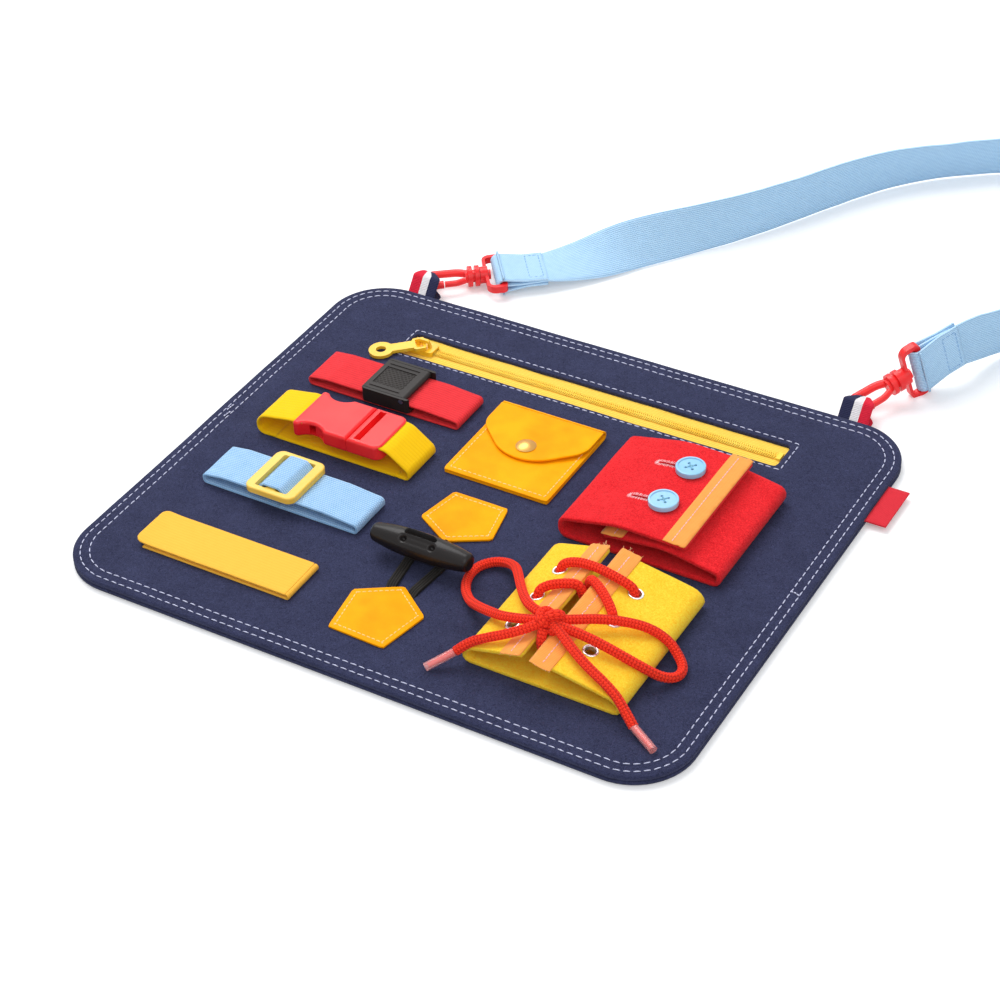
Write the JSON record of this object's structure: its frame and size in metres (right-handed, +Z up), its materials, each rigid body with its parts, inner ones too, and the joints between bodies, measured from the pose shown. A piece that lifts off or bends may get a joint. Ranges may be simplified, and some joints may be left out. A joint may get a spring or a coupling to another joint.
{
  "type": "busy board",
  "caption": "Felt busy board for toddlers with a zip, webbing buckles, a snap pocket, a toggle, buttons and laces to practise on, and a shoulder strap.",
  "frame": {"origin": "centre of the board's underside, on its rest face", "axes": "+X along the board's long edge, +Y towards the edge with the shoulder strap, +Z up from the board"},
  "size_m": [0.4267, 0.5322, 0.0345],
  "materials": {
    "navy_felt": "matte pressed felt",
    "red_tape": "woven tape",
    "striped_ribbon": "grosgrain ribbon in red, white and navy stripes",
    "zip_tape": "woven zip tape",
    "zip_teeth": "moulded zip coil",
    "zip_yellow_metal": "glossy yellow enamel",
    "red_webbing": "woven webbing",
    "black_plastic": "fine moulded texture",
    "steel_pin": "plain steel",
    "yellow_webbing": "woven webbing",
    "red_plastic": "smooth moulded acetal",
    "light_blue_webbing": "ribbed webbing",
    "yellow_plastic": "smooth moulded acetal",
    "amber_webbing": "woven tape",
    "hook_and_loop": "hook and loop pile",
    "orange_leather": "smooth grained leather",
    "snap_brass": "polished",
    "toggle_black": "glossy",
    "toggle_elastic": "braided elastic",
    "red_felt": "matte pressed felt",
    "orange_ribbon": "grosgrain ribbon",
    "pale_blue_button": "glossy",
    "white_thread": "twisted thread",
    "yellow_felt": "matte pressed felt",
    "silver_eyelet": "polished",
    "red_lace": "braided round cord",
    "clear_tip": "clear plastic"
  },
  "bodies": {
    "board": {"rear_panel": "navy_felt", "front_panel": "navy_felt", "side_label": "red_tape", "tab_left": "striped_ribbon", "tab_right": "striped_ribbon", "zip_tapes": "zip_tape", "zip_chain": "zip_teeth", "zip_stops": "zip_teeth", "red_strap": "red_webbing", "cam_buckle_frame": "black_plastic", "cam_buckle_pin": "steel_pin", "yellow_strap_base": "yellow_webbing", "yellow_strap_left": "yellow_webbing", "yellow_strap_right": "yellow_webbing", "blue_strap": "light_blue_webbing", "hook_strap_base": "amber_webbing", "loop_pad": "hook_and_loop", "pocket_back": "orange_leather", "pocket_front": "orange_leather", "snap_stud": "snap_brass", "toggle_patch_upper": "orange_leather", "toggle_patch_lower": "orange_leather", "toggle_cord": "toggle_elastic", "toggle_loop": "toggle_elastic", "coat_felt": "red_felt", "coat_ribbons": "orange_ribbon", "button_shanks": "white_thread", "shoe_felt": "yellow_felt", "shoe_ribbons": "orange_ribbon", "eyelets": "silver_eyelet", "lace": "red_lace", "lace_knot": "red_lace", "aglet_left": "clear_tip", "aglet_right": "clear_tip", "strap_eye_left": "red_plastic", "strap_eye_right": "red_plastic", "shoulder_strap": "light_blue_webbing"},
    "zip_slider": {"zip_slider": "zip_yellow_metal"},
    "zip_pull": {"zip_pull": "zip_yellow_metal"},
    "cam_lid": {"cam_buckle_lid": "black_plastic"},
    "buckle_socket": {"side_buckle_socket": "red_plastic"},
    "buckle_plug": {"side_buckle_plug": "red_plastic", "side_buckle_arms": "red_plastic"},
    "ring_slider": {"slide_ring": "yellow_plastic", "blue_strap_hump": "light_blue_webbing"},
    "hook_flap": {"hook_strap_flap": "amber_webbing", "hook_pad": "hook_and_loop"},
    "pocket_flap": {"pocket_flap": "orange_leather", "snap_cap": "snap_brass", "snap_socket": "snap_brass"},
    "toggle": {"toggle": "toggle_black"},
    "button_upper": {"button_upper": "pale_blue_button"},
    "button_lower": {"button_lower": "pale_blue_button"},
    "hook_left": {"hook_left": "red_plastic"},
    "gate_left": {"gate_left": "red_plastic"},
    "hook_right": {"hook_right": "red_plastic"},
    "gate_right": {"gate_right": "red_plastic"}
  },
  "joints": [
    {"name": "zip_slide", "type": "slide", "parent": "board", "child": "zip_slider", "axis": [1, 0, 0], "range_m": [0, 0.18], "deforming": ["zip_chain"]},
    {"name": "zip_pull_lift", "type": "hinge", "parent": "zip_slider", "child": "zip_pull", "pos_m": [-0.0901, 0.0882, 0.0067], "axis": [-0.6428, 0.766, 0], "range_deg": [0, 90]},
    {"name": "cam_lid_open", "type": "hinge", "parent": "board", "child": "cam_lid", "pos_m": [-0.07, 0.0485, 0.01265], "axis": [0, 1, 0], "range_deg": [0, 95]},
    {"name": "buckle_socket_shift", "type": "slide", "parent": "board", "child": "buckle_socket", "axis": [-1, 0, 0], "range_m": [0, 0.013], "deforming": ["yellow_strap_left", "side_buckle_arms"]},
    {"name": "buckle_plug_shift", "type": "slide", "parent": "board", "child": "buckle_plug", "axis": [1, 0, 0], "range_m": [0, 0.009], "deforming": ["yellow_strap_right", "side_buckle_arms"]},
    {"name": "ring_slide", "type": "slide", "parent": "board", "child": "ring_slider", "axis": [1, 0, 0], "range_m": [-0.012, 0.011]},
    {"name": "hook_flap_peel", "type": "hinge", "parent": "board", "child": "hook_flap", "pos_m": [-0.0435, -0.088, 0.008], "axis": [0, 1, 0], "range_deg": [0, 150]},
    {"name": "pocket_flap_open", "type": "hinge", "parent": "board", "child": "pocket_flap", "pos_m": [-0.00375, 0.0612, 0.0095], "axis": [-1, 0, 0], "range_deg": [0, 150]},
    {"name": "toggle_swivel", "type": "hinge", "parent": "board", "child": "toggle", "pos_m": [-0.004, -0.053, 0.0149], "axis": [0, 0, 1], "range_deg": [-25, 25], "deforming": ["toggle_cord"]},
    {"name": "button_upper_twist", "type": "hinge", "parent": "board", "child": "button_upper", "pos_m": [0.0776, 0.0395, 0.02], "axis": [0, 0, 1], "range_deg": [-45, 45]},
    {"name": "button_lower_twist", "type": "hinge", "parent": "board", "child": "button_lower", "pos_m": [0.0776, 0.0134, 0.02], "axis": [0, 0, 1], "range_deg": [-45, 45]},
    {"name": "hook_left_swivel", "type": "hinge", "parent": "board", "child": "hook_left", "pos_m": [-0.12027, 0.13647, 0.0057], "axis": [0.788, 0.6157, 0], "range_deg": [-18, 18]},
    {"name": "gate_left_press", "type": "hinge", "parent": "hook_left", "child": "gate_left", "pos_m": [-0.10203, 0.14641, 0.0057], "axis": [0, 0, 1], "range_deg": [-15, 0], "stiffness_Nm_per_rad": 0.02, "springref_deg": 5.73},
    {"name": "hook_right_swivel", "type": "hinge", "parent": "board", "child": "hook_right", "pos_m": [0.1115, 0.13523, 0.0036], "axis": [0.5417, 0.7881, 0.2924], "range_deg": [-18, 18]},
    {"name": "gate_right_press", "type": "hinge", "parent": "hook_right", "child": "gate_right", "pos_m": [0.12541, 0.14946, 0.00959], "axis": [-0.1656, -0.241, 0.9563], "range_deg": [-15, 0], "stiffness_Nm_per_rad": 0.02, "springref_deg": 5.73}
  ],
  "couplings": [
    {"joint": "buckle_plug_shift", "follows": "buckle_socket_shift", "ratio": 0.6922}
  ]
}
